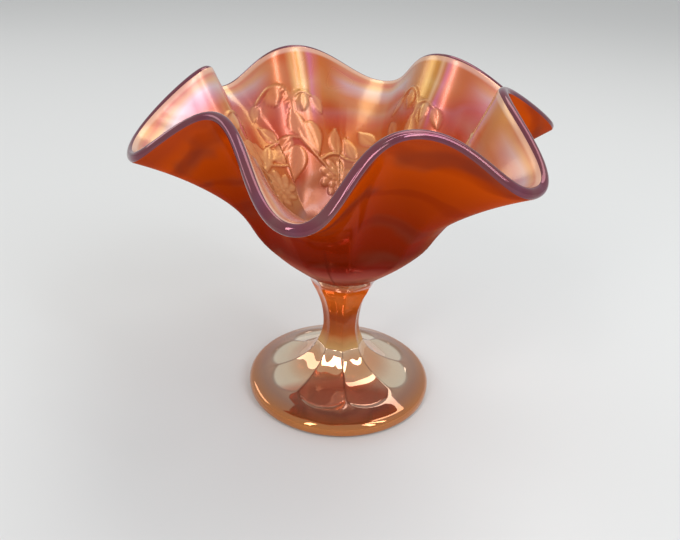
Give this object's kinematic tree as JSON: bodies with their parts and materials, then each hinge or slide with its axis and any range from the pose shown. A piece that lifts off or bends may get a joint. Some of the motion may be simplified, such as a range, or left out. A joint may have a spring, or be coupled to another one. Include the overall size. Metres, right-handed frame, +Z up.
{
  "type": "glass compote",
  "caption": "Ruffled pressed-glass bowl on a faceted stem and a round panelled foot, with an iridescent orange finish.",
  "frame": {"origin": "centre of the flat face that the foot stands on", "axes": "+Z up along the stem's axis; -Y towards the side seen from the front, +X to its right"},
  "size_m": [0.1675, 0.1737, 0.1411],
  "materials": {
    "bowl_glass": "pressed glass with a marigold iridescent lustre, orange outside and pink and gold inside",
    "wafer_glass": "hot-worked joint glass with a mauve iridescent lustre",
    "stem_glass": "amber glass with an iridescent lustre, thinning towards the foot",
    "foot_glass": "nearly clear pressed glass with a pale iridescent lustre"
  },
  "bodies": {
    "root": {"bowl": "bowl_glass", "wafer": "wafer_glass", "stem": "stem_glass", "foot": "foot_glass"}
  },
  "joints": []
}
